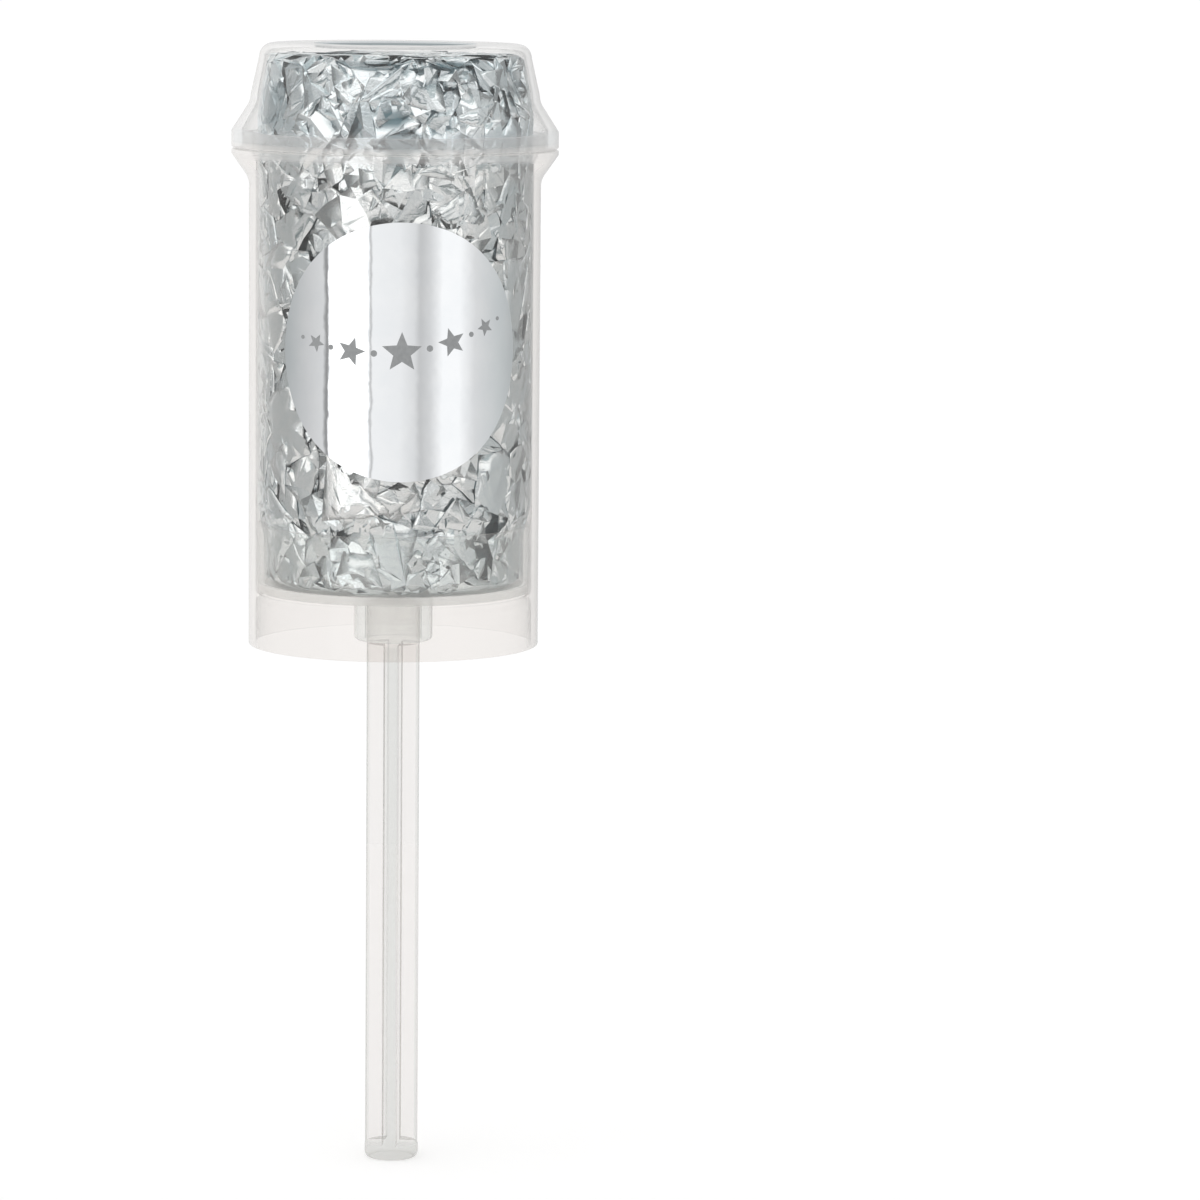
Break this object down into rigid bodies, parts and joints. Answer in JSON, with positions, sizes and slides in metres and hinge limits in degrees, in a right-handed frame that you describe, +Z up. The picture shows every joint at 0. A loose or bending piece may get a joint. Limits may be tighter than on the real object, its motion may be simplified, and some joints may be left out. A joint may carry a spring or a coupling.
{
  "type": "confetti push pop",
  "caption": "Clear barrel packed with silver foil confetti, with a lift-off cap, a round mirror sticker and a sliding plunger on a cross-shaped stick.",
  "frame": {"origin": "centre of the stick's foot, at the bottom of the object", "axes": "+Z up along the axis from the stick's foot to the cap; the sticker faces -Y"},
  "size_m": [0.056, 0.056, 0.194],
  "materials": {
    "barrel_plastic": "gloss",
    "cap_plastic": "gloss",
    "plunger_plastic": "satin",
    "stick_plastic": "satin",
    "label_silver": "polished",
    "foil_flakes": "gloss",
    "foil_packed": "gloss"
  },
  "bodies": {
    "barrel": {"barrel": "barrel_plastic", "label": "label_silver"},
    "plunger": {"plunger": "plunger_plastic", "foil_core": "foil_packed", "foil_flake_01": "foil_flakes", "foil_flake_02": "foil_flakes", "foil_flake_03": "foil_flakes", "foil_flake_04": "foil_flakes", "foil_flake_05": "foil_flakes", "foil_flake_06": "foil_flakes", "foil_flake_07": "foil_flakes", "foil_flake_08": "foil_flakes", "foil_flake_09": "foil_flakes", "foil_flake_10": "foil_flakes", "foil_flake_11": "foil_flakes", "foil_flake_12": "foil_flakes", "foil_flake_13": "foil_flakes", "foil_flake_14": "foil_flakes", "foil_flake_15": "foil_flakes", "foil_flake_16": "foil_flakes", "foil_flake_17": "foil_flakes", "foil_flake_18": "foil_flakes", "foil_flake_19": "foil_flakes", "foil_flake_20": "foil_flakes", "foil_flake_21": "foil_flakes", "foil_flake_22": "foil_flakes", "foil_flake_23": "foil_flakes", "foil_flake_24": "foil_flakes", "foil_flake_25": "foil_flakes", "foil_flake_26": "foil_flakes", "foil_flake_27": "foil_flakes", "foil_flake_28": "foil_flakes", "foil_flake_29": "foil_flakes", "foil_flake_30": "foil_flakes", "foil_flake_31": "foil_flakes", "foil_flake_32": "foil_flakes", "foil_flake_33": "foil_flakes", "foil_flake_34": "foil_flakes", "foil_flake_35": "foil_flakes", "foil_flake_36": "foil_flakes", "foil_flake_37": "foil_flakes", "foil_flake_38": "foil_flakes", "foil_flake_39": "foil_flakes", "foil_flake_40": "foil_flakes", "foil_top_flake_1": "foil_flakes", "foil_top_flake_2": "foil_flakes", "foil_top_flake_3": "foil_flakes", "foil_top_flake_4": "foil_flakes", "foil_top_flake_5": "foil_flakes", "foil_top_flake_6": "foil_flakes"},
    "stick": {"stick": "stick_plastic"},
    "cap": {"cap": "cap_plastic"}
  },
  "joints": [
    {"name": "plunger_push", "type": "slide", "parent": "barrel", "child": "plunger", "axis": [0, 0, 1], "range_m": [0, 0.0775]},
    {"name": "stick_turn", "type": "hinge", "parent": "plunger", "child": "stick", "pos_m": [0, 0, 0.045], "axis": [0, 0, 1], "continuous": true},
    {"name": "cap_lift", "type": "slide", "parent": "plunger", "child": "cap", "axis": [0, 0, 1], "range_m": [0, 0.05]}
  ]
}
